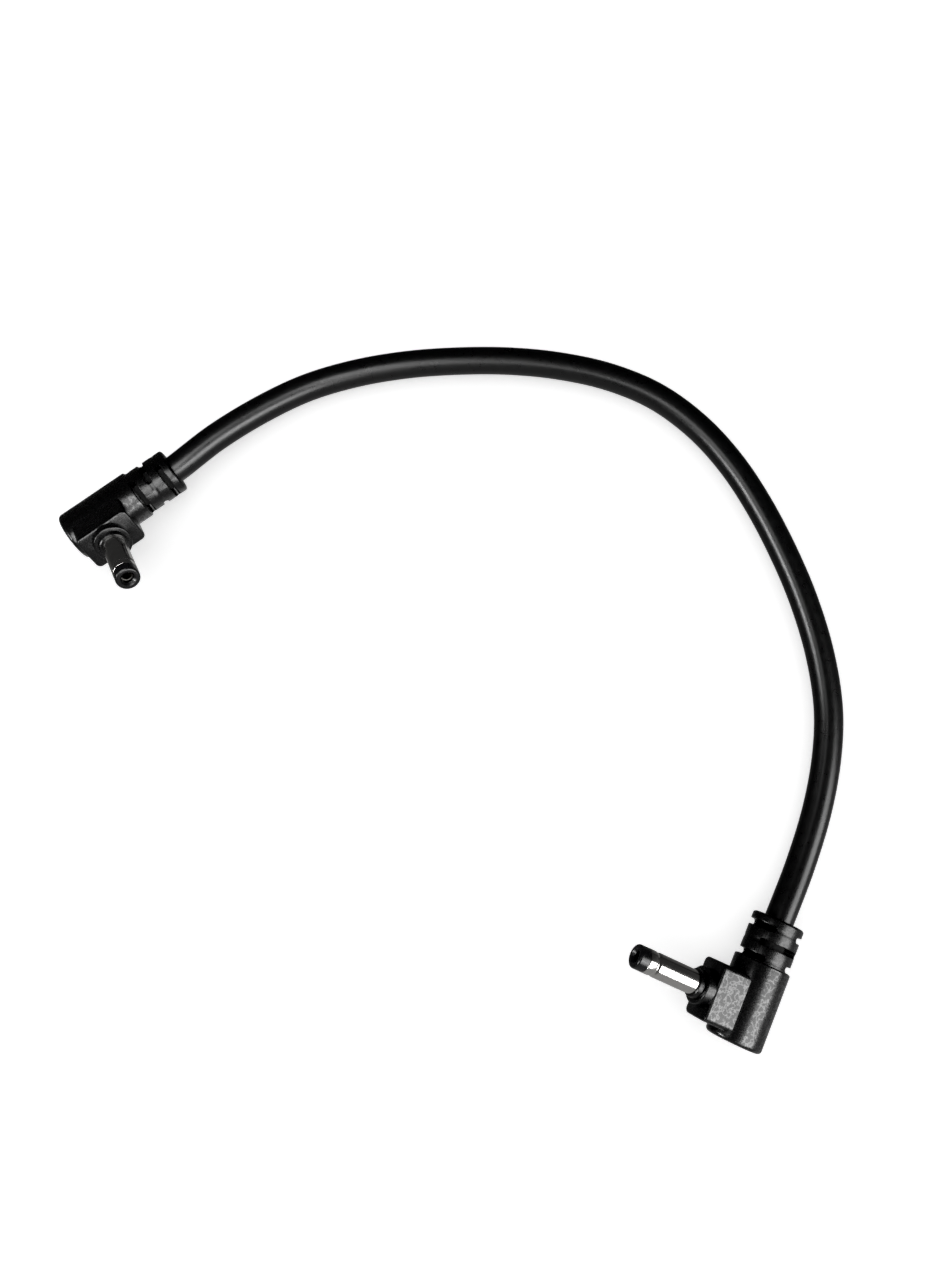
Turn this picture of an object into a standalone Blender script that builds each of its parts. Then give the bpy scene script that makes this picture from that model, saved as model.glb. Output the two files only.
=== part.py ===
"""A short power lead: a round two-core cable with a moulded right-angle barrel plug on each end."""
import math

import bmesh
import bpy
from mathutils import Euler, Matrix, Vector

# Driving dimensions of a plug, in metres. A plug's own axes are X towards the cable, Y along the barrel
# and Z square to both, and its origin is where the cable's axis crosses the barrel's axis.
BODY_WIDTH = 0.0073
BODY_DEPTH = 0.0085
BODY_BACK = 0.0053
BODY_FRONT = 0.0065
BODY_EDGE = 0.0006
SHOULDER_CHAMFER = 0.0002
RELIEF_LENGTH = 0.0065
RELIEF_WALL = 0.00095
RELIEF_EDGE = 0.0004
RING_GROOVE = 0.00096
RING_RECESS = 0.0001
SLOT_WIDTH = 0.00088
SLOT_PITCH = 0.0022
SLOT_ANGLE = math.radians(120)
BLOCK_LENGTH = 0.0084
BLOCK_WIDTH = 0.0057
BLOCK_REACH = 0.0074
BLOCK_CORNER = 0.0008
BLOCK_EDGE = 0.0002
COLLAR_DIAMETER = 0.0055
COLLAR_HEIGHT = 0.0012
COLLAR_CHAMFER = 0.0002
NECK_WALL = 0.0002
NECK_TAPER = 0.0001
NECK_HEIGHT = 0.0008

# Driving dimensions of the contacts.
BARREL_DIAMETER = 0.0035
BARREL_LENGTH = 0.0106
NOSE_LENGTH = 0.0016
NOSE_EDGE = 0.0003
NOSE_OPENING = 0.0016
SLEEVE_CHAMFER = 0.0001
GROOVE_FROM_FRONT = 0.0010
GROOVE_WIDTH = 0.00085
GROOVE_DEPTH = 0.00012
GROOVE_SLOPE = 0.0002
FLANGE_THICKNESS = 0.0006
PIN_BORE = 0.0014
CONTACT_WALL = 0.00025
CONTACT_RECESS = 0.0011
CONTACT_BACK_WALL = 0.0015
BUSH_WALL = 0.00026
TAIL_DIAMETER = 0.0009
TAIL_LENGTH = 0.0020
LUG_THICKNESS = 0.00035
LUG_WIDTH = 0.0012
LUG_REACH = 0.0022
WASHER_THICKNESS = 0.0005
CENTRE_SOLDER_DIAMETER = 0.0009
SLEEVE_SOLDER_DIAMETER = 0.0007

# Driving dimensions of the cable.
CABLE_DIAMETER = 0.0042
JACKET_WALL = 0.00065
JACKET_INSET = 0.0002
CORE_DIAMETER = 0.0011
CORE_WALL = 0.0002
CORE_STRIP = 0.0026
CABLE_STEP = 0.0084

# Walls of the overmould round what it holds, and the clearances of moulded and of turned pieces.
BODY_WALL = 0.00045
BACK_WALL = 0.0014
BLOCK_WALL = 0.00045
FRONT_WALL = 0.0010
MOULD_GAP = 0.0003
CONTACT_GAP = 0.00012

# Where each plug lies: the place of its origin, its turn about its own cable axis, its dip towards the
# cable and its heading. The barrels point up and inwards, as they came to rest on the table.
PLUG_A_PLACE = (-0.04874, 0.03363, 0.00393)
PLUG_A_TURN = (math.radians(139.3), 0.0, math.radians(35.7))
PLUG_B_PLACE = (0.04636, -0.03769, 0.00422)
PLUG_B_TURN = (math.radians(17.4), math.radians(3.6), math.radians(65.4))

# The cable's middle line between the plugs, chosen by eye along the lead on its table.
ROUTE = [
    (-0.0321, 0.0465, 0.0034),
    (-0.0254, 0.0512, 0.0027),
    (-0.0184, 0.0549, 0.0023),
    (-0.0108, 0.0573, 0.0022),
    (-0.0029, 0.0587, 0.0022),
    (0.0051, 0.0593, 0.0022),
    (0.0131, 0.0593, 0.0022),
    (0.0210, 0.0585, 0.0022),
    (0.0288, 0.0567, 0.0022),
    (0.0361, 0.0535, 0.0022),
    (0.0424, 0.0486, 0.0022),
    (0.0475, 0.0426, 0.0022),
    (0.0516, 0.0358, 0.0022),
    (0.0551, 0.0283, 0.0022),
    (0.0578, 0.0210, 0.0022),
    (0.0598, 0.0131, 0.0022),
    (0.0607, 0.0050, 0.0022),
    (0.0601, -0.0025, 0.0022),
    (0.0583, -0.0103, 0.0022),
    (0.0554, -0.0182, 0.0025),
]

# Counts of slot rows, of sides on turned pieces and of steps along curves, and the limits for welding
# and smoothing.
SLOT_ROWS = 3
BODY_SIDES = 32
BARREL_SIDES = 24
SLOT_STEPS = 10
EDGE_STEPS = 3
JACKET_RESOLUTION = 4
CORE_RESOLUTION = 2
SOLDER_STEPS = 2
CURVE_STEPS = 24
WELD = 1e-7
SMOOTH_ANGLE = math.radians(35)

# Sizes that follow from the driving ones, from the barrel's tip back to the joints.
BODY_RADIUS = BODY_WIDTH / 2
BODY_OVAL = BODY_DEPTH / BODY_WIDTH
BARREL_RADIUS = BARREL_DIAMETER / 2
CABLE_RADIUS = CABLE_DIAMETER / 2
CORE_RADIUS = CORE_DIAMETER / 2
CORE_OFFSET = CORE_RADIUS + MOULD_GAP / 2
MOUTH = BODY_FRONT + RELIEF_LENGTH
JACKET_END = BODY_FRONT - JACKET_INSET
CABLE_BORE = CABLE_RADIUS + MOULD_GAP
RELIEF_RADIUS = CABLE_BORE + RELIEF_WALL
POCKET_RADIUS = BLOCK_WIDTH / 2 - BLOCK_WALL
FLANGE_RADIUS = POCKET_RADIUS - MOULD_GAP
CAVITY_RADIUS = BODY_RADIUS - BODY_WALL
CAVITY_BACK = BODY_BACK - BACK_WALL
CAVITY_FRONT = BODY_FRONT - MOULD_GAP
CRADLE_FLOOR = CORE_RADIUS + MOULD_GAP
BARREL_BORE = BARREL_RADIUS + CONTACT_GAP
COLLAR_FACE = BLOCK_REACH + COLLAR_HEIGHT
NECK_RADIUS = BARREL_BORE + NECK_WALL
TIP = COLLAR_FACE + BARREL_LENGTH
NOSE_BACK = TIP - NOSE_LENGTH
SLEEVE_FRONT = NOSE_BACK - CONTACT_GAP
CONTACT_FRONT = TIP - CONTACT_RECESS
CONTACT_RADIUS = PIN_BORE / 2 + CONTACT_WALL
BUSH_BORE = CONTACT_RADIUS + CONTACT_GAP
BUSH_RADIUS = BUSH_BORE + BUSH_WALL
SLEEVE_BORE = BUSH_RADIUS + CONTACT_GAP
POCKET_FRONT = BLOCK_REACH - FRONT_WALL
FLANGE_FRONT = POCKET_FRONT - CONTACT_GAP
FLANGE_BACK = FLANGE_FRONT - FLANGE_THICKNESS
LUG_FRONT = FLANGE_BACK - CONTACT_GAP
LUG_BACK = LUG_FRONT - LUG_THICKNESS
WASHER_FRONT = LUG_BACK - CONTACT_GAP
WASHER_BACK = WASHER_FRONT - WASHER_THICKNESS
TAIL_END = WASHER_BACK - TAIL_LENGTH
LUG_END = WASHER_BACK - LUG_REACH
LUG_OUTSIDE = math.sqrt(FLANGE_RADIUS ** 2 - (LUG_WIDTH / 2) ** 2)
LUG_INSIDE = LUG_OUTSIDE - LUG_THICKNESS
CENTRE_JOINT = Vector((0, TAIL_END - CONTACT_GAP - CENTRE_SOLDER_DIAMETER / 2, 0))
LUG_MIDDLE = (LUG_INSIDE + LUG_OUTSIDE) / 2
SLEEVE_JOINT = Vector((0, LUG_END - CONTACT_GAP - SLEEVE_SOLDER_DIAMETER / 2, LUG_MIDDLE))

for old in list(bpy.data.objects):
    bpy.data.objects.remove(old, do_unlink=True)


def material(name, colour, roughness, metallic=0.0):
    """A plain surface with the piece's own colour."""
    made = bpy.data.materials.new(name)
    made.use_nodes = True
    shader = made.node_tree.nodes["Principled BSDF"]
    shader.inputs["Base Color"].default_value = (*colour, 1.0)
    shader.inputs["Roughness"].default_value = roughness
    shader.inputs["Metallic"].default_value = metallic
    return made


def place(name, mesh, parent=None):
    """An object of the mesh in the scene, on the given parent."""
    made = bpy.data.objects.new(name, mesh)
    made.parent = parent
    bpy.context.scene.collection.objects.link(made)
    return made


def finish(work, name):
    """A mesh of the work so far, welded, facing out and with its round stretches smooth."""
    bmesh.ops.remove_doubles(work, verts=work.verts, dist=WELD)
    bmesh.ops.recalc_face_normals(work, faces=work.faces)
    mesh = bpy.data.meshes.new(name)
    work.to_mesh(mesh)
    work.free()
    mesh.shade_smooth()
    mesh.set_sharp_from_angle(angle=SMOOTH_ANGLE)
    return mesh


def turned(name, outline, sides, axis):
    """A piece turned about X or Y from a closed outline of (along, radius) points."""
    work = bmesh.new()
    spots = [Vector((s, r, 0)) if axis == "X" else Vector((r, s, 0)) for s, r in outline]
    points = [work.verts.new(spot) for spot in spots]
    off_axis = [i for i in range(len(points)) if outline[i - 1][1] or outline[i][1]]
    edges = [work.edges.new((points[i - 1], points[i])) for i in off_axis]
    around = Vector((1, 0, 0)) if axis == "X" else Vector((0, 1, 0))
    bmesh.ops.spin(work, geom=points + edges, cent=(0, 0, 0), axis=around, angle=math.tau, steps=sides,
                   use_merge=True)
    bmesh.ops.dissolve_degenerate(work, dist=WELD, edges=work.edges)
    return finish(work, name)


def round_edge(centre, radius, start, end):
    """Points of a round edge from one angle to another, as (along, radius) pairs."""
    angles = [start + (end - start) * i / EDGE_STEPS for i in range(EDGE_STEPS + 1)]
    return [(centre[0] + radius * math.cos(a), centre[1] + radius * math.sin(a)) for a in angles]


def extruded(name, outline, low, high, edge=0.0):
    """A piece drawn as a closed (x, z) outline and pushed along Y, with its far rim chamfered."""
    work = bmesh.new()
    base = work.faces.new([work.verts.new((x, low, z)) for x, z in outline])
    pushed = bmesh.ops.extrude_face_region(work, geom=[base], use_keep_orig=True)
    far = [v for v in pushed["geom"] if isinstance(v, bmesh.types.BMVert)]
    bmesh.ops.translate(work, verts=far, vec=(0, high - low, 0))
    if edge:
        rim = [e for e in work.edges if all(v in far for v in e.verts)]
        bmesh.ops.bevel(work, geom=rim, offset=edge, segments=1, affect="EDGES")
    return finish(work, name)


def round_rectangle(length, width, corner):
    """The outline of a rectangle with round corners in X and Z, centred on both."""
    far = length / 2 - corner
    side = width / 2 - corner
    centres = [(far, side), (-far, side), (-far, -side), (far, -side)]
    outline = []
    for i, centre in enumerate(centres):
        outline += round_edge(centre, corner, i * math.pi / 2, (i + 1) * math.pi / 2)
    return outline


def combined(name, base, others, operation):
    """The base mesh with the other meshes added to it or cut from it, one after another."""
    body = place(name, base)
    tools = [place(name + "_tool", other) for other in others]
    for tool in tools:
        step = body.modifiers.new(operation, "BOOLEAN")
        step.object = tool
        step.operation = operation
        step.solver = "EXACT"
    graph = bpy.context.evaluated_depsgraph_get()
    result = bpy.data.meshes.new_from_object(body.evaluated_get(graph))
    for used in [body] + tools:
        bpy.data.objects.remove(used, do_unlink=True)
    work = bmesh.new()
    work.from_mesh(result)
    return finish(work, name)


def slot(work, along, facing):
    """Adds an arc-shaped cutter for one slot of the strain relief, facing an angle from Y towards Z."""
    inside = CABLE_RADIUS
    outside = RELIEF_RADIUS * BODY_OVAL + MOULD_GAP
    near = along - SLOT_WIDTH / 2
    far = along + SLOT_WIDTH / 2
    corners = [(near, inside), (far, inside), (far, outside), (near, outside)]
    rings = []
    for i in range(SLOT_STEPS + 1):
        angle = facing + SLOT_ANGLE * (i / SLOT_STEPS - 0.5)
        spots = [(s, r * math.cos(angle), r * math.sin(angle)) for s, r in corners]
        rings.append([work.verts.new(spot) for spot in spots])
    for ring, following in zip(rings, rings[1:]):
        for i in range(len(corners)):
            work.faces.new((ring[i - 1], ring[i], following[i], following[i - 1]))
    work.faces.new(rings[0])
    work.faces.new(rings[-1])


def slots():
    """The rows of slots, right through to the cable: each row is a quarter turn round from the last."""
    work = bmesh.new()
    for row in range(SLOT_ROWS):
        along = BODY_FRONT + RING_GROOVE / 2 + SLOT_PITCH * row
        turn = math.pi / 2 * row
        slot(work, along, turn)
        slot(work, along, turn + math.pi)
    return finish(work, "slots")


def outer_mould():
    """The soft overmould: an oval body, the slotted strain relief, and the block, collar and neck."""
    outline = [(-BODY_BACK, 0)]
    outline += round_edge((BODY_EDGE - BODY_BACK, BODY_RADIUS - BODY_EDGE), BODY_EDGE, math.pi, math.pi / 2)
    outline += [(BODY_FRONT - SHOULDER_CHAMFER, BODY_RADIUS), (BODY_FRONT, BODY_RADIUS - SHOULDER_CHAMFER)]
    for row in range(SLOT_ROWS):
        near = BODY_FRONT + SLOT_PITCH * row
        far = near + RING_GROOVE
        outline += [(near, RELIEF_RADIUS), (near, RELIEF_RADIUS - RING_RECESS),
                    (far, RELIEF_RADIUS - RING_RECESS), (far, RELIEF_RADIUS)]
    outline += round_edge((MOUTH - RELIEF_EDGE, RELIEF_RADIUS - RELIEF_EDGE), RELIEF_EDGE, math.pi / 2, 0)
    outline += [(MOUTH, 0)]
    body = turned("body", outline, BODY_SIDES, "X")
    body.transform(Matrix.Diagonal((1, BODY_OVAL, 1, 1)))
    front = round_rectangle(BLOCK_LENGTH, BLOCK_WIDTH, BLOCK_CORNER)
    block = extruded("block", front, 0, BLOCK_REACH, BLOCK_EDGE)
    collar_radius = COLLAR_DIAMETER / 2
    collar = turned("collar", [
        (BLOCK_REACH - COLLAR_HEIGHT, 0), (BLOCK_REACH - COLLAR_HEIGHT, collar_radius),
        (COLLAR_FACE - COLLAR_CHAMFER, collar_radius), (COLLAR_FACE, collar_radius - COLLAR_CHAMFER),
        (COLLAR_FACE, NECK_RADIUS + NECK_TAPER), (COLLAR_FACE + NECK_HEIGHT, NECK_RADIUS),
        (COLLAR_FACE + NECK_HEIGHT, 0)], BARREL_SIDES, "Y")
    past_mouth = MOUTH + CABLE_DIAMETER
    cavity = turned("cavity", [
        (-CAVITY_BACK, 0), (-CAVITY_BACK, CAVITY_RADIUS), (CAVITY_FRONT, CAVITY_RADIUS),
        (CAVITY_FRONT, CABLE_BORE), (past_mouth, CABLE_BORE), (past_mouth, 0)], BARREL_SIDES, "X")
    pocket = turned("pocket", [
        (0, 0), (0, POCKET_RADIUS), (POCKET_FRONT, POCKET_RADIUS),
        (POCKET_FRONT, BARREL_BORE), (TIP, BARREL_BORE), (TIP, 0)], BARREL_SIDES, "Y")
    whole = combined("outer_mould", body, [block, collar], "UNION")
    return combined("outer_mould", whole, [cavity, pocket, slots()], "DIFFERENCE")


def inner_mould():
    """The cradle under the joints, open towards the barrel and the cable."""
    back = MOULD_GAP - CAVITY_BACK
    front = CAVITY_FRONT - MOULD_GAP
    radius = CAVITY_RADIUS - MOULD_GAP
    solid = turned("solid", [(back, 0), (back, radius), (front, radius), (front, 0)], BARREL_SIDES, "X")
    steps = BARREL_SIDES // 2
    angles = [math.pi / 2 + math.pi * i / steps for i in range(steps + 1)]
    outline = [(POCKET_RADIUS * math.cos(a), POCKET_RADIUS * math.sin(a)) for a in angles]
    outline += [(BODY_FRONT, -POCKET_RADIUS), (BODY_FRONT, POCKET_RADIUS)]
    trough = extruded("trough", outline, -CRADLE_FLOOR, BODY_RADIUS)
    return combined("inner_mould", solid, [trough], "DIFFERENCE")


def sleeve_contact():
    """The plated barrel, with a ring and groove behind the nose and a flange held in the block."""
    groove_front = SLEEVE_FRONT - GROOVE_FROM_FRONT
    groove_back = groove_front - GROOVE_WIDTH
    groove_radius = BARREL_RADIUS - GROOVE_DEPTH
    return turned("sleeve_contact", [
        (FLANGE_BACK, SLEEVE_BORE), (FLANGE_BACK, FLANGE_RADIUS), (FLANGE_FRONT, FLANGE_RADIUS),
        (FLANGE_FRONT, BARREL_RADIUS), (groove_back, BARREL_RADIUS),
        (groove_back + GROOVE_SLOPE, groove_radius), (groove_front - GROOVE_SLOPE, groove_radius),
        (groove_front, BARREL_RADIUS),
        (SLEEVE_FRONT - SLEEVE_CHAMFER, BARREL_RADIUS), (SLEEVE_FRONT, BARREL_RADIUS - SLEEVE_CHAMFER),
        (SLEEVE_FRONT, SLEEVE_BORE)], BARREL_SIDES, "Y")


def nose_bush():
    """The insulating tube between the contacts, ending in the nose that shows at the barrel's tip."""
    opening = NOSE_OPENING / 2
    seat = CONTACT_FRONT + CONTACT_GAP
    outline = [(LUG_BACK, BUSH_BORE), (LUG_BACK, BUSH_RADIUS), (NOSE_BACK, BUSH_RADIUS),
               (NOSE_BACK, BARREL_RADIUS)]
    outline += round_edge((TIP - NOSE_EDGE, BARREL_RADIUS - NOSE_EDGE), NOSE_EDGE, math.pi / 2, 0)
    outline += [(TIP, opening), (seat, opening), (seat, BUSH_BORE)]
    return turned("nose_bush", outline, BARREL_SIDES, "Y")


def centre_contact():
    """The socket tube for the mating pin, with a solid tail for its joint."""
    tail = TAIL_DIAMETER / 2
    bore_end = LUG_BACK + CONTACT_BACK_WALL
    return turned("centre_contact", [
        (TAIL_END, 0), (TAIL_END, tail), (LUG_BACK, tail), (LUG_BACK, CONTACT_RADIUS),
        (CONTACT_FRONT, CONTACT_RADIUS), (CONTACT_FRONT, PIN_BORE / 2), (bore_end, PIN_BORE / 2),
        (bore_end, 0)], BARREL_SIDES, "Y")


def sleeve_lug():
    """The solder tag: a ring behind the barrel's flange, with a tongue bent back towards the joint."""
    hole = BUSH_RADIUS + CONTACT_GAP
    ring = turned("ring", [
        (LUG_BACK, hole), (LUG_BACK, FLANGE_RADIUS), (LUG_FRONT, FLANGE_RADIUS), (LUG_FRONT, hole)],
        BARREL_SIDES, "Y")
    half = LUG_WIDTH / 2
    outline = [(-half, LUG_INSIDE), (half, LUG_INSIDE), (half, LUG_OUTSIDE), (-half, LUG_OUTSIDE)]
    tongue = extruded("tongue", outline, LUG_END, (LUG_BACK + LUG_FRONT) / 2)
    return combined("sleeve_lug", ring, [tongue], "UNION")


def rear_washer():
    """The insulating washer between the solder tag and the centre contact's tail."""
    hole = TAIL_DIAMETER / 2 + CONTACT_GAP
    rim = LUG_INSIDE - CONTACT_GAP
    return turned("rear_washer", [
        (WASHER_BACK, hole), (WASHER_BACK, rim), (WASHER_FRONT, rim), (WASHER_FRONT, hole)],
        BARREL_SIDES, "Y")


def solder(name, centre, diameter):
    """A rounded bead of solder."""
    work = bmesh.new()
    bmesh.ops.create_icosphere(work, subdivisions=SOLDER_STEPS, radius=diameter / 2,
                              matrix=Matrix.Translation(centre))
    return finish(work, name)


def smooth_line(points, step):
    """Points at even steps, near the one asked, along a smooth curve through the given points."""
    ends = [points[0] * 2 - points[1]] + points + [points[-1] * 2 - points[-2]]
    fine = []
    for before, start, end, after in zip(ends, ends[1:], ends[2:], ends[3:]):
        for i in range(CURVE_STEPS):
            t = i / CURVE_STEPS
            fine.append(0.5 * (2 * start + (end - before) * t
                               + (2 * before - 5 * start + 4 * end - after) * t ** 2
                               + (3 * start - before - 3 * end + after) * t ** 3))
    fine.append(points[-1])
    reach = [0.0]
    for a, b in zip(fine, fine[1:]):
        reach.append(reach[-1] + (b - a).length)
    count = round(reach[-1] / step)
    line = []
    for k in range(count + 1):
        wanted = reach[-1] * k / count
        i = max(1, next((n for n, r in enumerate(reach) if r >= wanted), len(reach) - 1))
        share = (wanted - reach[i - 1]) / (reach[i] - reach[i - 1])
        line.append(fine[i - 1].lerp(fine[i], share))
    return line


def tube(name, points, radius, resolution):
    """A round solid along the points, with flat ends."""
    curve = bpy.data.curves.new(name, "CURVE")
    curve.dimensions = "3D"
    curve.bevel_depth = radius
    curve.bevel_resolution = resolution
    curve.use_fill_caps = True
    spline = curve.splines.new("POLY")
    spline.points.add(len(points) - 1)
    for spot, point in zip(spline.points, points):
        spot.co = (*point, 1.0)
    guide = place(name + "_guide", curve)
    graph = bpy.context.evaluated_depsgraph_get()
    mesh = bpy.data.meshes.new_from_object(guide.evaluated_get(graph))
    bpy.data.objects.remove(guide, do_unlink=True)
    work = bmesh.new()
    work.from_mesh(mesh)
    return finish(work, name)


def hollow(name, points, radius, bore, resolution):
    """A tube along the points with its bore cut right through."""
    first = points[0] + (points[0] - points[1]).normalized() * bore
    last = points[-1] + (points[-1] - points[-2]).normalized() * bore
    solid = tube(name, points, radius, resolution)
    return combined(name, solid, [tube("bore", [first] + points + [last], bore, resolution)], "DIFFERENCE")


def core_ends(frame, side, joint, bead):
    """A core's points in one plug: at its joint, where its insulation is cut and where the jacket ends."""
    tip = joint + Vector((bead / 2 + CONTACT_GAP, 0, 0))
    leave = Vector((JACKET_END, 0, side * CORE_OFFSET))
    cut = tip + (leave - tip).normalized() * CORE_STRIP
    return [frame @ tip, frame @ cut, frame @ leave]


def core_line(line, first, last):
    """A core's points along the cable, turning slowly from its side in one plug to the other's."""
    spots = []
    angles = []
    frames = []
    for k, centre in enumerate(line):
        ahead = (line[min(k + 1, len(line) - 1)] - line[max(k - 1, 0)]).normalized()
        left = Vector((0, 0, 1)).cross(ahead).normalized()
        frames.append((left, ahead.cross(left)))
    for spot, k in ((first, 0), (last, len(line) - 1)):
        out = spot - line[k]
        angles.append(math.atan2(out.dot(frames[k][1]), out.dot(frames[k][0])))
    turn = (angles[1] - angles[0]) % math.tau
    for k in range(1, len(line) - 1):
        angle = angles[0] + turn * k / (len(line) - 1)
        left, up = frames[k]
        spots.append(line[k] + (left * math.cos(angle) + up * math.sin(angle)) * CORE_OFFSET)
    return spots


def dressed(mesh, surface):
    """The mesh with that surface alone."""
    mesh.materials.clear()
    mesh.materials.append(surface)
    return mesh


solder_tin = material("solder", (0.66, 0.66, 0.67), 0.3, 1.0)
copper = material("copper strand", (0.72, 0.45, 0.32), 0.35, 1.0)
PLUG_PIECES = {
    "outer_mould": dressed(outer_mould(), material("black soft PVC", (0.012, 0.012, 0.013), 0.5)),
    "inner_mould": dressed(inner_mould(), material("natural polyethylene", (0.62, 0.60, 0.55), 0.55)),
    "sleeve_contact": dressed(sleeve_contact(), material("bright nickel", (0.78, 0.77, 0.74), 0.16, 1.0)),
    "nose_bush": dressed(nose_bush(), material("black hard plastic", (0.010, 0.010, 0.011), 0.28)),
    "centre_contact": dressed(centre_contact(), material("spring brass", (0.80, 0.70, 0.48), 0.25, 1.0)),
    "sleeve_lug": dressed(sleeve_lug(), material("tinned brass", (0.72, 0.70, 0.66), 0.35, 1.0)),
    "rear_washer": dressed(rear_washer(), material("brown laminate", (0.20, 0.11, 0.05), 0.6)),
    "centre_solder": dressed(solder("centre_solder", CENTRE_JOINT, CENTRE_SOLDER_DIAMETER), solder_tin),
    "sleeve_solder": dressed(solder("sleeve_solder", SLEEVE_JOINT, SLEEVE_SOLDER_DIAMETER), solder_tin),
}

plug_frames = []
for plug, where, turn in (("plug_a", PLUG_A_PLACE, PLUG_A_TURN), ("plug_b", PLUG_B_PLACE, PLUG_B_TURN)):
    stand = place(plug, None)
    stand.location = where
    stand.rotation_euler = turn
    plug_frames.append(Matrix.LocRotScale(Vector(where), Euler(turn), None))
    for piece, mesh in PLUG_PIECES.items():
        place(plug + "_" + piece, mesh, stand)

frame_a, frame_b = plug_frames
jacket_end = Vector((JACKET_END, 0, 0))
mouth = Vector((MOUTH, 0, 0))
middle = [Vector(p) for p in ROUTE]
middle = [frame_a @ jacket_end, frame_a @ mouth] + middle + [frame_b @ mouth, frame_b @ jacket_end]
cable_line = smooth_line(middle, CABLE_STEP)

jacket = hollow("cable_jacket", cable_line, CABLE_RADIUS, CABLE_RADIUS - JACKET_WALL, JACKET_RESOLUTION)
place("cable_jacket", dressed(jacket, material("black PVC jacket", (0.014, 0.014, 0.015), 0.42)))

CORES = [
    ("red_core", -1, CENTRE_JOINT, CENTRE_SOLDER_DIAMETER, (0.45, 0.03, 0.02)),
    ("black_core", 1, SLEEVE_JOINT, SLEEVE_SOLDER_DIAMETER, (0.02, 0.02, 0.02)),
]
for core, side, joint, bead, colour in CORES:
    start = core_ends(frame_a, side, joint, bead)
    end = core_ends(frame_b, side, joint, bead)[::-1]
    run = start + core_line(cable_line, start[-1], end[0]) + end
    bore = CORE_RADIUS - CORE_WALL
    skin = hollow(core + "_insulation", run[1:-1], CORE_RADIUS, bore, CORE_RESOLUTION)
    place(core + "_insulation", dressed(skin, material(core + " insulation", colour, 0.45)))
    wire = tube(core + "_conductor", run, bore - CONTACT_GAP, CORE_RESOLUTION)
    place(core + "_conductor", dressed(wire, copper))
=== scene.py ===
"""The dressed look of a short power lead with a moulded right-angle barrel plug on each end."""
import math

import bmesh
import bpy
from mathutils import Euler, Matrix, Vector


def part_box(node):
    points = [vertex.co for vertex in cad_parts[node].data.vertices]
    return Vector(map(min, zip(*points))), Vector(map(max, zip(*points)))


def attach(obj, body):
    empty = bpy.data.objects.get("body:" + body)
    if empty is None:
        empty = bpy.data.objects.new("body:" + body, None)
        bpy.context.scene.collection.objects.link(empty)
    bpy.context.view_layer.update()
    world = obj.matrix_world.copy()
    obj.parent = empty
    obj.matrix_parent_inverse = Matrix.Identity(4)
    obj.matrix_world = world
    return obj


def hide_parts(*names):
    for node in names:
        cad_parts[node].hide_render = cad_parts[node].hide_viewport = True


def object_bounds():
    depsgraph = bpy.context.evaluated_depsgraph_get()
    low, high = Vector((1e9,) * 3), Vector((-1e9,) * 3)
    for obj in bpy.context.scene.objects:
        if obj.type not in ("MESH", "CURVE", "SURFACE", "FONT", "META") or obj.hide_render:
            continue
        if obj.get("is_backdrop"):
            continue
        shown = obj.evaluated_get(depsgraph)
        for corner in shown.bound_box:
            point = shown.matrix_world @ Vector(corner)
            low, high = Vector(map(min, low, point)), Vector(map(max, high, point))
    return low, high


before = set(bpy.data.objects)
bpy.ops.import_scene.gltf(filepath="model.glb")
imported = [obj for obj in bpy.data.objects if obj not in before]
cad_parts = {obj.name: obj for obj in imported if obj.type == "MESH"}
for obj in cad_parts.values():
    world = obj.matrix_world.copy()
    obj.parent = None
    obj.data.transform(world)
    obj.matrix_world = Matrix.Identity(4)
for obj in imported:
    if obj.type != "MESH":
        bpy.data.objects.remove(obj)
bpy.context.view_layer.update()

# Conductors
# Two bundles of fine copper strands carry the current. Each is laid with a slow twist, bared at both
# ends and soldered inside the plugs, so none of it shows in the finished lead.
PLUG_A = Matrix.LocRotScale(Vector((-0.04874, 0.03363, 0.00393)),
                            Euler((math.radians(139.3), 0.0, math.radians(35.7))), None)
PLUG_B = Matrix.LocRotScale(Vector((0.04636, -0.03769, 0.00422)),
                            Euler((math.radians(17.4), math.radians(3.6), math.radians(65.4))), None)
PLUGS = {"plug_a": PLUG_A, "plug_b": PLUG_B}
RELIEF_MOUTH = 0.0130
JACKET_END = 0.0063
ROUTE = [
    (-0.0321, 0.0465, 0.0034),
    (-0.0254, 0.0512, 0.0027),
    (-0.0184, 0.0549, 0.0023),
    (-0.0108, 0.0573, 0.0022),
    (-0.0029, 0.0587, 0.0022),
    (0.0051, 0.0593, 0.0022),
    (0.0131, 0.0593, 0.0022),
    (0.0210, 0.0585, 0.0022),
    (0.0288, 0.0567, 0.0022),
    (0.0361, 0.0535, 0.0022),
    (0.0424, 0.0486, 0.0022),
    (0.0475, 0.0426, 0.0022),
    (0.0516, 0.0358, 0.0022),
    (0.0551, 0.0283, 0.0022),
    (0.0578, 0.0210, 0.0022),
    (0.0598, 0.0131, 0.0022),
    (0.0607, 0.0050, 0.0022),
    (0.0601, -0.0025, 0.0022),
    (0.0583, -0.0103, 0.0022),
    (0.0554, -0.0182, 0.0025),
]
CORE_OFFSET = 0.0007
STRAND_RADIUS = 0.000075
STRAND_LAY = 0.012
STRAND_SIDES = 6
STRANDS_ROUND = 6
BEAD_TO_END = 0.0006
CABLE_STEP = 0.0012
CURVE_STEPS = 24
SHARP_ANGLE = math.radians(32)
CORES = {"red_core": ("centre_solder", -1), "black_core": ("sleeve_solder", 1)}


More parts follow.
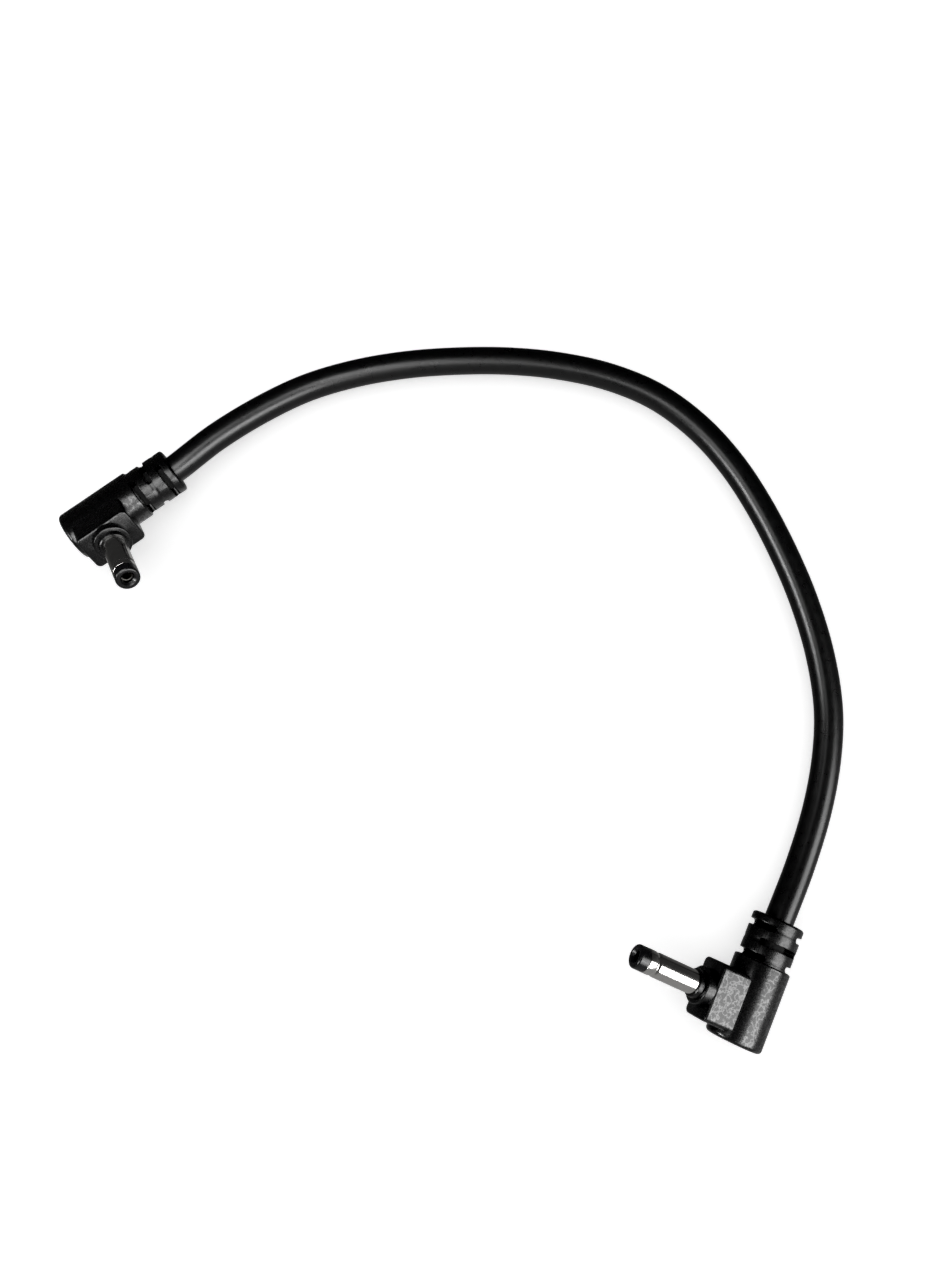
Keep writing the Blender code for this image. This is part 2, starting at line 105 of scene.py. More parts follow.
def smooth_line(points, step):
    """Points at even steps along a smooth curve through the given ones."""
    ends = [points[0] * 2 - points[1]] + points + [points[-1] * 2 - points[-2]]
    fine = []
    for before, start, end, after in zip(ends, ends[1:], ends[2:], ends[3:]):
        for i in range(CURVE_STEPS):
            t = i / CURVE_STEPS
            fine.append(0.5 * (2 * start + (end - before) * t
                               + (2 * before - 5 * start + 4 * end - after) * t ** 2
                               + (3 * start - before - 3 * end + after) * t ** 3))
    fine.append(points[-1])
    reach = [0.0]
    for a, b in zip(fine, fine[1:]):
        reach.append(reach[-1] + (b - a).length)
    count = round(reach[-1] / step)
    line = [points[0]]
    i = 1
    for k in range(1, count):
        wanted = reach[-1] * k / count
        while reach[i] < wanted:
            i += 1
        line.append(fine[i - 1].lerp(fine[i], (wanted - reach[i - 1]) / (reach[i] - reach[i - 1])))
    return line + [points[-1]], reach[-1]


def side_ways(line):
    """Two directions square to the line at each of its points, carried along without twisting."""
    ways = []
    side = None
    for k in range(len(line)):
        ahead = (line[min(k + 1, len(line) - 1)] - line[max(k - 1, 0)]).normalized()
        side = side or Vector((0, 0, 1)).cross(ahead)
        side = (side - ahead * side.dot(ahead)).normalized()
        ways.append((side, ahead.cross(side)))
    return ways


def add_tube(work, line, radius, sides, inwards=False):
    """Adds a round skin along the line, and gives its first and last rings of points."""
    angles = [math.tau * i / sides for i in range(sides)]
    rings = []
    for centre, (side, up) in zip(line, side_ways(line)):
        around = [centre + (side * math.cos(a) + up * math.sin(a)) * radius for a in angles]
        rings.append([work.verts.new(point) for point in around])
    for ring, following in zip(rings, rings[1:]):
        for i in range(sides):
            corners = (ring[i - 1], ring[i], following[i], following[i - 1])
            work.faces.new(corners[::-1] if inwards else corners)
    return rings[0], rings[-1]


def plain_mesh(name, work):
    """A mesh of the worked shape, facing out."""
    bmesh.ops.recalc_face_normals(work, faces=work.faces)
    mesh = bpy.data.meshes.new(name)
    work.to_mesh(mesh)
    work.free()
    return mesh


def smooth_mesh(name, work, look):
    """A mesh of the worked shape in its look, smooth apart from its corners."""
    mesh = plain_mesh(name, work)
    mesh.shade_smooth()
    mesh.set_sharp_from_angle(angle=SHARP_ANGLE)
    mesh.materials.append(look)
    return mesh


def riding(name, mesh, placed=Matrix.Identity(4)):
    """The piece in its place, riding on the lead."""
    piece = bpy.data.objects.new(name, mesh)
    piece.matrix_world = placed
    bpy.context.scene.collection.objects.link(piece)
    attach(piece, "root")
    return piece


class Wire:
    """A socket in a look's node tree that takes part in Python sums."""

    def __init__(self, tree, socket=None):
        self.tree = tree
        self.socket = socket

    def node(self, kind, settings, sockets, output=0):
        """Adds a node, sets it up, and gives one of its outputs."""
        made = self.tree.nodes.new(kind)
        for name, value in settings.items():
            if name == "stops":
                self.stops(made.color_ramp.elements, value)
            else:
                setattr(made, name, value)
        for name, value in sockets.items():
            if isinstance(value, Wire):
                self.tree.links.new(value.socket, made.inputs[name])
            else:
                made.inputs[name].default_value = value
        return Wire(self.tree, made.outputs[output])

    def stops(self, elements, stops):
        """Puts a ramp's stops in place."""
        while len(elements) < len(stops):
            elements.new(1.0)
        for element, (place, grey) in zip(elements, stops):
            element.position = place
            element.color = (grey, grey, grey, 1.0)

    def maths(self, operation, other):
        """Adds a Math node that works on this value and another."""
        return self.node("ShaderNodeMath", {"operation": operation}, {0: self, 1: other})

    def __add__(self, other):
        return self.maths("ADD", other)

    __radd__ = __add__

    def __mul__(self, other):
        return self.maths("MULTIPLY", other)

    __rmul__ = __mul__


def new_look(name, constants):
    """A fresh look with the shader's constant values set, and a wire to build on."""
    made = bpy.data.materials.new(name)
    made.use_nodes = True
    shader = made.node_tree.nodes["Principled BSDF"]
    for socket, value in constants.items():
        shader.inputs[socket].default_value = value
    return made, Wire(made.node_tree), shader


def noise(wire, where, scale, detail, roughness=0.5):
    """Cloudy values from 0 to 1, with scale in lumps a metre."""
    return wire.node("ShaderNodeTexNoise", {},
                     {"Vector": where, "Scale": scale, "Detail": detail, "Roughness": roughness})


def blend_colours(wire, share, first, second):
    """One colour turning into another as the share goes from 0 to 1."""
    return wire.node("ShaderNodeMix", {"data_type": "RGBA"}, {0: share, 6: first, 7: second}, 2)


def feed(wire, shader, socket):
    """Joins the wire to one of the shader's sockets."""
    wire.tree.links.new(wire.socket, shader.inputs[socket])


def bump(wire, height, strength, distance):
    """A surface direction tilted by the height."""
    return wire.node("ShaderNodeBump", {}, {"Height": height, "Strength": strength, "Distance": distance})


def places(wire):
    """Where a point is on its own piece, in metres."""
    return wire.node("ShaderNodeTexCoord", {}, {}, 3)


def mottled(name, dark, light, rough, scale, constants):
    """A plain look for hidden pieces: two close tones in fine clouds, and roughness that follows them."""
    made, wire, shader = new_look(name, constants)
    cloud = noise(wire, places(wire), scale, detail=4)
    feed(blend_colours(wire, cloud, dark, light), shader, "Base Color")
    feed(rough + 0.2 * cloud, shader, "Roughness")
    feed(bump(wire, cloud, strength=0.3, distance=0.00002), shader, "Normal")
    return made


plug_ends = [PLUG_A @ Vector((JACKET_END, 0, 0)), PLUG_A @ Vector((RELIEF_MOUTH, 0, 0)),
             PLUG_B @ Vector((RELIEF_MOUTH, 0, 0)), PLUG_B @ Vector((JACKET_END, 0, 0))]
cable_points = plug_ends[:2] + [Vector(point) for point in ROUTE] + plug_ends[2:]
cable_line, cable_length = smooth_line(cable_points, CABLE_STEP)


def middle(node):
    """The middle of a solid of the lead."""
    low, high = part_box(node)
    return (low + high) / 2


def core_line(bead, side):
    """A core's line from its joint in one plug, slowly round the cable's middle, to the other joint."""
    starts = []
    for plug, placed in PLUGS.items():
        joint = middle(plug + "_" + bead) + placed.to_3x3() @ Vector((BEAD_TO_END, 0, 0))
        starts.append((joint, placed @ Vector((JACKET_END, 0, side * CORE_OFFSET))))
    ways = side_ways(cable_line)
    angles = []
    for spot, k in ((starts[0][1], 0), (starts[1][1], -1)):
        out = spot - cable_line[k]
        angles.append(math.atan2(out.dot(ways[k][1]), out.dot(ways[k][0])))
    turn = (angles[1] - angles[0]) % math.tau
    line = []
    for k, (spot, (across, up)) in enumerate(zip(cable_line, ways)):
        angle = angles[0] + turn * k / (len(cable_line) - 1)
        line.append(spot + (across * math.cos(angle) + up * math.sin(angle)) * CORE_OFFSET)
    return smooth_line([starts[0][0]] + line + [starts[1][0]], CABLE_STEP)[0]


copper_look = mottled("copper_strand", (0.62, 0.33, 0.20, 1), (0.80, 0.50, 0.34, 1),
                      rough=0.22, scale=4000, constants={"Metallic": 1.0})
core_lines = {core: core_line(*ends) for core, ends in CORES.items()}
for core, line in core_lines.items():
    work = bmesh.new()
    add_tube(work, line, STRAND_RADIUS, STRAND_SIDES)
    for strand in range(STRANDS_ROUND):
        twisted = []
        for k, (spot, (across, up)) in enumerate(zip(line, side_ways(line))):
            angle = math.tau * (strand / STRANDS_ROUND + k * CABLE_STEP / STRAND_LAY)
            twisted.append(spot + (across * math.cos(angle) + up * math.sin(angle)) * STRAND_RADIUS * 2)
        add_tube(work, twisted, STRAND_RADIUS, STRAND_SIDES)
    conductor = riding(core + "_strands", smooth_mesh(core + "_strands", work, copper_look))
    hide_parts(core + "_conductor")

# Core insulation
# A thin coloured sleeve of soft PVC on each conductor, red for the centre contact and black for the
# sleeve, cut back a few millimetres from the joints.
CORE_RADIUS = 0.00055
CORE_BORE = 0.00032
CORE_SIDES = 16
CORE_STRIP_STEPS = 2
CORE_TINTS = {"red_core": ((0.36, 0.02, 0.015, 1), (0.50, 0.04, 0.03, 1), "red_insulation"),
              "black_core": ((0.015, 0.015, 0.015, 1), (0.03, 0.03, 0.03, 1), "black_insulation")}


def pipe(line, radius, bore, sides):
    """A round pipe along the line, with flat ends."""
    work = bmesh.new()
    outer = add_tube(work, line, radius, sides)
    inner = add_tube(work, line, bore, sides, inwards=True)
    for ring, hole in zip(outer, inner):
        for i in range(sides):
            work.faces.new((ring[i - 1], ring[i], hole[i], hole[i - 1]))
    return work


for core, (dark, light, slot) in CORE_TINTS.items():
    covered = core_lines[core][CORE_STRIP_STEPS:-CORE_STRIP_STEPS]
    sleeving = pipe(covered, CORE_RADIUS, CORE_BORE, CORE_SIDES)
    pvc_look = mottled(core + "_pvc", dark, light, rough=0.35, scale=2500, constants={})
    insulation = riding(core + "_sleeving", smooth_mesh(core + "_sleeving", sleeving, pvc_look))
    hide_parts(core + "_insulation")

# Jacket
# One extruded tube of black PVC over both cores, lying on the table in one open curve. It is satin smooth,
# a little cloudy from handling, and made dull inside the reliefs so that their slots look dark.
JACKET_RADIUS = 0.0021
JACKET_BORE = 0.00145
JACKET_SIDES = 48
DULLED_EDGE = 0.0003
BLACK_PVC = (0.0015, 0.0015, 0.0016, 1)
WORN_BLACK_PVC = (0.0035, 0.0035, 0.0037, 1)


def fade(wire, value, start, end, before, after):
    """A number that turns evenly into another as the value goes from start to end."""
    return wire.node("ShaderNodeMapRange", {}, {0: value, 1: start, 2: end, 3: before, 4: after})


def inside_relief(wire, where, placed):
    """1 on the stretch of jacket inside one plug's relief, and 0 on the rest."""
    away = wire.node("ShaderNodeVectorMath", {"operation": "DISTANCE"}, {0: where, 1: placed.translation}, 1)
    return fade(wire, away, RELIEF_MOUTH - DULLED_EDGE, RELIEF_MOUTH, 1.0, 0.0)


jacket_look, wire, shader = new_look("jacket_pvc", {"Specular IOR Level": 0.55})
where = places(wire)
cloud = noise(wire, where, scale=900, detail=5, roughness=0.55)
fine = noise(wire, where, scale=6000, detail=3)
dulled = inside_relief(wire, where, PLUG_A) + inside_relief(wire, where, PLUG_B)
feed(blend_colours(wire, cloud, BLACK_PVC, WORN_BLACK_PVC), shader, "Base Color")
feed(0.20 + 0.14 * cloud + 0.05 * fine + 0.65 * dulled, shader, "Roughness")
feed(bump(wire, cloud + 0.2 * fine, strength=0.14, distance=0.00006), shader, "Normal")
jacket_tube = pipe(cable_line, JACKET_RADIUS, JACKET_BORE, JACKET_SIDES)
jacket = riding("jacket", smooth_mesh("jacket", jacket_tube, jacket_look))
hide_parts("cable_jacket")

# Centre contact
# The socket tube for the device's pin: turned from spring brass and plated, its colour painted dark as
# shade down the hole, with a rounded lip at its mouth and a solid tail for the red core's joint. Only its
# lip shows, down the hole in the nose.
BARREL_SIDES = 96
BARREL_TIP = 0.0192
PIN_BORE = 0.0007
CONTACT_RADIUS = 0.00095
CONTACT_FRONT = 0.0181
CONTACT_BACK = 0.00521
CONTACT_FLOOR = 0.00671
TAIL_RADIUS = 0.00045
TAIL_END = 0.00259
LIP = 0.00008


def round_edge(along, radius, size, start, end, steps=4):
    """Points of a round edge about a centre, from one angle to another, as (along, radius) pairs."""
    angles = [math.radians(start + (end - start) * i / steps) for i in range(steps + 1)]
    return [(along + size * math.cos(a), radius + size * math.sin(a)) for a in angles]


def turned(outline, sides, axis):
    """A piece turned about X or Y from a closed outline of (along, radius) points."""
    work = bmesh.new()
    points = [work.verts.new((s, r, 0) if axis == "X" else (r, s, 0)) for s, r in outline]
    off_axis = [i for i in range(len(points)) if outline[i - 1][1] or outline[i][1]]
    edges = [work.edges.new((points[i - 1], points[i])) for i in off_axis]
    around = (1, 0, 0) if axis == "X" else (0, 1, 0)
    bmesh.ops.spin(work, geom=points + edges, cent=(0, 0, 0), axis=around, angle=math.tau, steps=sides,
                   use_merge=True)
    bmesh.ops.remove_doubles(work, verts=work.verts, dist=1e-7)
    return work


def measure_along(wire, where, axis):
    """How far a place is along one axis: 0 for X, 1 for Y and 2 for Z."""
    return wire.node("ShaderNodeSeparateXYZ", {}, {0: where}, axis)


def turning_lines(wire, where, scale):
    """Fine rings round the barrel's axis, as a lathe tool leaves them."""
    return wire.node("ShaderNodeTexNoise", {"noise_dimensions": "1D"},
                     {"W": measure_along(wire, where, 1) * scale, "Scale": 1.0, "Detail": 3.0})


def turned_metal(name, dull, bright, rough):
    """Bright turned metal with tool rings, faint clouds of tarnish and a little wear."""
    made, wire, shader = new_look(name, {"Metallic": 1.0})
    where = places(wire)
    rings = turning_lines(wire, where, scale=16000)
    cloud = noise(wire, where, scale=1400, detail=4)
    feed(blend_colours(wire, cloud, dull, bright), shader, "Base Color")
    feed(rough + 0.03 * rings + 0.05 * cloud, shader, "Roughness")
    feed(bump(wire, rings, strength=0.02, distance=0.000006), shader, "Normal")
    return made


def on_plugs(name, work, look, node):
    """The same piece on each plug, standing for that plug's solid of the given name."""
    mesh = smooth_mesh(name, work, look)
    for plug, placed in PLUGS.items():
        piece = riding(plug + "_" + name, mesh, placed)
        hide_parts(plug + "_" + node)


outline = [(TAIL_END, 0), (TAIL_END, TAIL_RADIUS), (CONTACT_BACK, TAIL_RADIUS),
           (CONTACT_BACK, CONTACT_RADIUS)]
outline += round_edge(CONTACT_FRONT - LIP, CONTACT_RADIUS - LIP, LIP, 90, 0)
outline += round_edge(CONTACT_FRONT - LIP, PIN_BORE + LIP, LIP, 0, -90)
outline += [(CONTACT_FLOOR, PIN_BORE), (CONTACT_FLOOR, 0)]
# Painted shade: the plate's colour is made dark to stand for the shade down the nose's hole.
shade_painted_contact_look = turned_metal("spring_brass_with_painted_shade", (0.10, 0.097, 0.09, 1), (0.16, 0.155, 0.145, 1),
                            rough=0.40)
on_plugs("pin_socket", turned(outline, BARREL_SIDES, "Y"), shade_painted_contact_look, "centre_contact")

# Nose bush
# A hard black plastic tube that keeps the two contacts apart. Its end is the glossy nose at the barrel's
# tip, with a rounded rim and a countersunk hole for the device's pin.
BUSH_BACK = 0.00521
BUSH_BORE = 0.00107
BUSH_RADIUS = 0.00133
NOSE_BACK = 0.0176
NOSE_RADIUS = 0.00173
NOSE_EDGE = 0.00036
NOSE_HOLE = 0.0008
SINK_RADIUS = 0.00106
SINK_DEPTH = 0.00032
SINK_RIM_WIDTH = 0.00006
SINK_RIM_DEPTH = 0.00004
HOLE_EDGE = 0.00008
HOLE_END = 0.01822
GLOSSY_BLACK = (0.004, 0.004, 0.0045, 1)
SCUFFED_BLACK = (0.009, 0.009, 0.01, 1)
sink_floor = BARREL_TIP - SINK_DEPTH
outline = [(BUSH_BACK, BUSH_BORE), (BUSH_BACK, BUSH_RADIUS), (NOSE_BACK, BUSH_RADIUS),
           (NOSE_BACK, NOSE_RADIUS)]
outline += round_edge(BARREL_TIP - NOSE_EDGE, NOSE_RADIUS - NOSE_EDGE, NOSE_EDGE, 90, 0, 6)
outline += [(BARREL_TIP, SINK_RADIUS + SINK_RIM_WIDTH), (BARREL_TIP - SINK_RIM_DEPTH, SINK_RADIUS),
            (sink_floor, NOSE_HOLE + HOLE_EDGE), (sink_floor - HOLE_EDGE, NOSE_HOLE),
            (HOLE_END, NOSE_HOLE), (HOLE_END, BUSH_BORE)]
nose_look, wire, shader = new_look("glossy_black_plastic", {"Specular IOR Level": 0.5})
where = places(wire)
cloud = noise(wire, where, scale=2200, detail=4)
scuffs = noise(wire, where, scale=9000, detail=2)
feed(blend_colours(wire, cloud, GLOSSY_BLACK, SCUFFED_BLACK), shader, "Base Color")
feed(0.20 + 0.08 * cloud + 0.04 * scuffs, shader, "Roughness")
feed(bump(wire, scuffs, strength=0.08, distance=0.00002), shader, "Normal")
on_plugs("nose", turned(outline, BARREL_SIDES, "Y"), nose_look, "nose_bush")

# Sleeve contact
# The outer contact: a thin barrel of brass with bright nickel plate. A shallow retaining groove runs round
# it behind the nose, and a hidden flange holds it in the mould.
SLEEVE_BACK = 0.00568
FLANGE_FRONT = 0.00628
FLANGE_RADIUS = 0.0021
SLEEVE_BORE = 0.00145
SLEEVE_RADIUS = 0.00175
SLEEVE_FRONT = 0.01756
SLEEVE_EDGE = 0.00012
GROOVE_MIDDLE = 0.01614
GROOVE_HALF = 0.00042
GROOVE_DEPTH = 0.00013


def dip(along, half, radius, depth, steps=8):
    """Points across a smooth shallow dip in a round surface, as (along, radius) pairs."""
    shares = [2 * i / steps - 1 for i in range(steps + 1)]
    return [(along + half * s, radius - depth * (math.cos(math.pi * s) + 1) / 2) for s in shares]


outline = [(SLEEVE_BACK, SLEEVE_BORE), (SLEEVE_BACK, FLANGE_RADIUS), (FLANGE_FRONT, FLANGE_RADIUS),
           (FLANGE_FRONT, SLEEVE_RADIUS)]
outline += dip(GROOVE_MIDDLE, GROOVE_HALF, SLEEVE_RADIUS, GROOVE_DEPTH)
outline += round_edge(SLEEVE_FRONT - SLEEVE_EDGE, SLEEVE_RADIUS - SLEEVE_EDGE, SLEEVE_EDGE, 90, 0)
outline += [(SLEEVE_FRONT, SLEEVE_BORE)]
nickel_look = turned_metal("bright_nickel", (0.60, 0.59, 0.57, 1), (0.76, 0.75, 0.73, 1), rough=0.13)
on_plugs("sleeve", turned(outline, BARREL_SIDES, "Y"), nickel_look, "sleeve_contact")

# Solder tag, washer and joints
# A tinned brass ring behind the sleeve's flange with a bent tongue, a brown laminate washer that keeps it
# off the centre contact's tail, and a bead of solder on each core's end. The mould hides them all.
HIDDEN_LOOKS = {
    "sleeve_lug": mottled("tinned_brass", (0.52, 0.50, 0.46, 1), (0.72, 0.70, 0.66, 1),
                          rough=0.25, scale=2500, constants={"Metallic": 1.0}),
    "rear_washer": mottled("brown_laminate", (0.13, 0.065, 0.028, 1), (0.24, 0.13, 0.06, 1),
                           rough=0.45, scale=3500, constants={}),
    "centre_solder": mottled("bright_solder", (0.48, 0.48, 0.49, 1), (0.70, 0.70, 0.71, 1),
                             rough=0.18, scale=3000, constants={"Metallic": 1.0}),
}
HIDDEN_LOOKS["sleeve_solder"] = HIDDEN_LOOKS["centre_solder"]

# Inner mould
# A cradle of natural polyethylene, moulded round the joints first so that the hot outer mould can't move
# them. It is waxy and slightly uneven, and none of it shows.
HIDDEN_LOOKS["inner_mould"] = mottled("natural_polyethylene", (0.52, 0.50, 0.45, 1), (0.66, 0.64, 0.59, 1),
                                      rough=0.40, scale=1200, constants={})
for plug in PLUGS:
    for node, look in HIDDEN_LOOKS.items():
        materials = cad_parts[plug + "_" + node].data.materials
        materials.clear()
        materials.append(look)

# Outer mould
# Soft black PVC moulded round everything else in a two-part tool: an oval body along the cable, a block
# with flat sides and a seam under the barrel, a collar and neck at the barrel's foot, and a slotted relief.
BODY_RADIUS = 0.00365
BODY_OVAL = 1.164
BODY_BACK = 0.0053
BODY_FRONT = 0.0065
BODY_EDGE = 0.0006
SHOULDER_EDGE = 0.00025
RELIEF_RADIUS = 0.00335
RELIEF_EDGE = 0.0004
CABLE_HOLE = 0.00222
CAVITY_BACK = 0.0039
CAVITY_FRONT = 0.0062
CAVITY_RADIUS = 0.0032
BLOCK_LENGTH = 0.0084
BLOCK_WIDTH = 0.0057
BLOCK_REACH = 0.0074
BLOCK_CORNER = 0.0008
BLOCK_EDGE = 0.0003
BLOCK_DRAFT = 0.0002
COLLAR_ROOT = 0.001
COLLAR_RADIUS = 0.00275
COLLAR_FACE = 0.0086
COLLAR_EDGE = 0.00022
NECK_ROOT = 0.00217
NECK_RADIUS = 0.00207
NECK_END = 0.0094
NECK_CHAMFER = 0.0001
POCKET_FRONT = 0.0064
POCKET_RADIUS = 0.0024
BARREL_HOLE = 0.00178
CUT_LENGTH = 0.02
SLOT_WIDTH = 0.00088
SLOT_FIRST = 0.00048
SLOT_PITCH = 0.0022
SLOT_ROWS = 3
SLOT_SPAN = math.radians(120)
SLOT_LIP = 0.00008
LIP_BEND = 0.3
LIP_FLARE = 1.5
LIP_OVERSHOOT = 2
SLOT_TIP = 0.004
SLOT_STEPS = 24
SLOT_END_STEPS = 8
WEB_DIP = 0.00005
MOULD_SIDES = 96
CRACKLE_STOPS = [(0.43, 0.0), (0.5, 1.0), (0.57, 0.0)]
SHOULDER_FADE = 0.0003
FRONT_FADE = 0.0004
FADED_SHEEN = 0.2


def combined(base, others, operation):
    """The base with the other shapes added to it or cut from it, one after another."""
    made = []
    for work in [base] + others:
        made.append(bpy.data.objects.new("shape", plain_mesh("shape", work)))
        bpy.context.scene.collection.objects.link(made[-1])
    for tool in made[1:]:
        step = made[0].modifiers.new(operation, "BOOLEAN")
        step.object = tool
        step.operation = operation
        step.solver = "EXACT"
    graph = bpy.context.evaluated_depsgraph_get()
    result = bmesh.new()
    result.from_object(made[0], graph)
    for used in made:
        bpy.data.objects.remove(used, do_unlink=True)
    return result


def block():
    """The block under the barrel: round corners, a softened front rim and a seam where the tool parts."""
    work = bmesh.new()
    far = BLOCK_LENGTH / 2 - BLOCK_CORNER
    side = BLOCK_WIDTH / 2 - BLOCK_CORNER
    outline = []
    for i, (x, z) in enumerate([(far, side), (-far, side), (-far, -side), (far, -side)]):
        outline += round_edge(x, z, BLOCK_CORNER, 90 * i, 90 * i + 90, 8)
    base = work.faces.new([work.verts.new((x, 0, z)) for x, z in outline])
    pushed = bmesh.ops.extrude_face_region(work, geom=[base], use_keep_orig=True)
    front = [v for v in pushed["geom"] if isinstance(v, bmesh.types.BMVert)]
    bmesh.ops.translate(work, verts=front, vec=(0, BLOCK_REACH, 0))
    rim = [e for e in work.edges if all(v in front for v in e.verts)]
    bmesh.ops.bevel(work, geom=rim, offset=BLOCK_EDGE, segments=5, profile=0.5, affect="EDGES")
    bmesh.ops.bisect_plane(work, geom=work.verts[:] + work.edges[:] + work.faces[:], plane_co=(0, 0, 0),
                           plane_no=(0, 0, 1))
    for vert in work.verts:
        if vert.co.y > BLOCK_REACH / 2:
            vert.co.y -= BLOCK_DRAFT * abs(vert.co.z) / (BLOCK_WIDTH / 2)
    return work


def slot_rows():
    """How far along the plug each row of slots is."""
    return [BODY_FRONT + SLOT_FIRST + SLOT_PITCH * row for row in range(SLOT_ROWS)]


def slot_side(half, lip, rim):
    """One side of a slot's cut, from the cable out through a rounded lip: (across, radius) pairs."""
    return [(half, JACKET_RADIUS), (half, rim - SLOT_LIP),
            (half + LIP_BEND * lip, rim - LIP_BEND * SLOT_LIP), (half + lip, rim),
            (half + LIP_FLARE * lip, rim + LIP_OVERSHOOT * SLOT_LIP)]


def slots():
    """Cutters for the relief's slots: each row a quarter turn round from the one before, with round ends."""
    work = bmesh.new()
    half_span = SLOT_SPAN / 2
    end = SLOT_WIDTH / 2 / RELIEF_RADIUS
    shares = [i / SLOT_END_STEPS for i in range(SLOT_END_STEPS)]
    angles = [-half_span + end * (1 - math.cos(math.pi / 2 * s)) for s in shares]
    angles += [(half_span - end) * (2 * i / SLOT_STEPS - 1) for i in range(SLOT_STEPS + 1)]
    angles += [-a for a in reversed(angles[:SLOT_END_STEPS])]
    for row, along in enumerate(slot_rows()):
        for turn in (90 * row, 90 * row + 180):
            rings = []
            for angle in angles:
                past = max(0.0, (abs(angle) - (half_span - end)) / end)
                half = SLOT_WIDTH / 2 * math.sqrt(max(1 - past ** 2, SLOT_TIP))
                facing = math.radians(turn) + angle
                rim = RELIEF_RADIUS * BODY_OVAL / math.hypot(math.cos(facing), BODY_OVAL * math.sin(facing))
                near = slot_side(half, SLOT_LIP if row else 0.0, rim)
                far = slot_side(half, SLOT_LIP, rim)
                corners = [(along - s, r) for s, r in near] + [(along + s, r) for s, r in reversed(far)]
                around = [(s, r * math.cos(facing), r * math.sin(facing)) for s, r in corners]
                rings.append([work.verts.new(point) for point in around])
            for ring, following in zip(rings, rings[1:]):
                for i in range(len(ring)):
                    work.faces.new((ring[i - 1], ring[i], following[i], following[i - 1]))
            work.faces.new(rings[0])
            work.faces.new(rings[-1])
    return work


outline = [(-BODY_BACK, 0)]
outline += round_edge(BODY_EDGE - BODY_BACK, BODY_RADIUS - BODY_EDGE, BODY_EDGE, 180, 90, 6)
outline += round_edge(BODY_FRONT - SHOULDER_EDGE, BODY_RADIUS - SHOULDER_EDGE, SHOULDER_EDGE, 90, 30, 3)
for along in slot_rows():
    outline += dip(along, SLOT_FIRST, RELIEF_RADIUS, WEB_DIP)
outline += round_edge(RELIEF_MOUTH - RELIEF_EDGE, RELIEF_RADIUS - RELIEF_EDGE, RELIEF_EDGE, 90, 0, 6)
outline += [(RELIEF_MOUTH, 0)]
body = turned(outline, MOULD_SIDES, "X")
bmesh.ops.scale(body, vec=(1, BODY_OVAL, 1), verts=body.verts)
outline = [(BLOCK_REACH - COLLAR_ROOT, 0), (BLOCK_REACH - COLLAR_ROOT, COLLAR_RADIUS)]
outline += round_edge(COLLAR_FACE - COLLAR_EDGE, COLLAR_RADIUS - COLLAR_EDGE, COLLAR_EDGE, 90, 0)
outline += [(COLLAR_FACE, NECK_ROOT), (NECK_END - NECK_CHAMFER, NECK_RADIUS),
            (NECK_END, NECK_RADIUS - NECK_CHAMFER), (NECK_END, 0)]
collar = turned(outline, BARREL_SIDES, "Y")
outline = [(-CAVITY_BACK, 0), (-CAVITY_BACK, CAVITY_RADIUS), (CAVITY_FRONT, CAVITY_RADIUS),
           (CAVITY_FRONT, CABLE_HOLE), (CUT_LENGTH, CABLE_HOLE), (CUT_LENGTH, 0)]
cavity = turned(outline, MOULD_SIDES, "X")
outline = [(0, 0), (0, POCKET_RADIUS), (POCKET_FRONT, POCKET_RADIUS), (POCKET_FRONT, BARREL_HOLE),
           (CUT_LENGTH, BARREL_HOLE), (CUT_LENGTH, 0)]
pocket = turned(outline, BARREL_SIDES, "Y")
whole = combined(body, [block(), collar], "UNION")
whole = combined(whole, [cavity, pocket, slots()], "DIFFERENCE")

mould_look, wire, shader = new_look("moulded_black_pvc", {"Specular IOR Level": 0.46, "Coat Roughness": 0.2})
where = places(wire)
grain = noise(wire, where, scale=3300, detail=4, roughness=0.6)
cloud = noise(wire, where, scale=500, detail=3)
crackle = wire.node("ShaderNodeValToRGB", {"stops": CRACKLE_STOPS},
                    {0: noise(wire, where, scale=1300, detail=2)})
off_relief = fade(wire, measure_along(wire, where, 0), BODY_FRONT, BODY_FRONT + SHOULDER_FADE,
                  1.0, FADED_SHEEN)
off_front = fade(wire, measure_along(wire, where, 1), BLOCK_REACH - FRONT_FADE, BLOCK_REACH,
                 1.0, FADED_SHEEN)
feed(blend_colours(wire, cloud, BLACK_PVC, WORN_BLACK_PVC), shader, "Base Color")
feed(0.20 + 0.10 * grain + 0.04 * cloud, shader, "Roughness")
feed(crackle * off_relief * off_front, shader, "Coat Weight")
feed(bump(wire, grain, strength=0.2, distance=0.00006), shader, "Normal")
on_plugs("mould", whole, mould_look, "outer_mould")

# Stage
# A pale table that glows softly, and a camera above it. The ceiling lights the lead without showing in its
# gloss, where only the other lights do, with a faint glow that stands for the table under the left barrel.
TABLE_REACH = 2.0
table = bpy.data.meshes.new("table")
corners = [(-TABLE_REACH, -TABLE_REACH, 0), (TABLE_REACH, -TABLE_REACH, 0), (TABLE_REACH, TABLE_REACH, 0),
           (-TABLE_REACH, TABLE_REACH, 0)]
table.from_pydata(corners, [], [(0, 1, 2, 3)])
floor = bpy.data.objects.new("table", table)
floor.visible_glossy = False
bpy.context.scene.collection.objects.link(floor)
floor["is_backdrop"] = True
TABLE_LOOK = {"Roughness": 0.6, "Base Color": (0.86, 0.86, 0.86, 1),
              "Emission Color": (0.62, 0.62, 0.62, 1), "Emission Strength": 1.0}
table.materials.append(new_look("pale_table", TABLE_LOOK)[0])

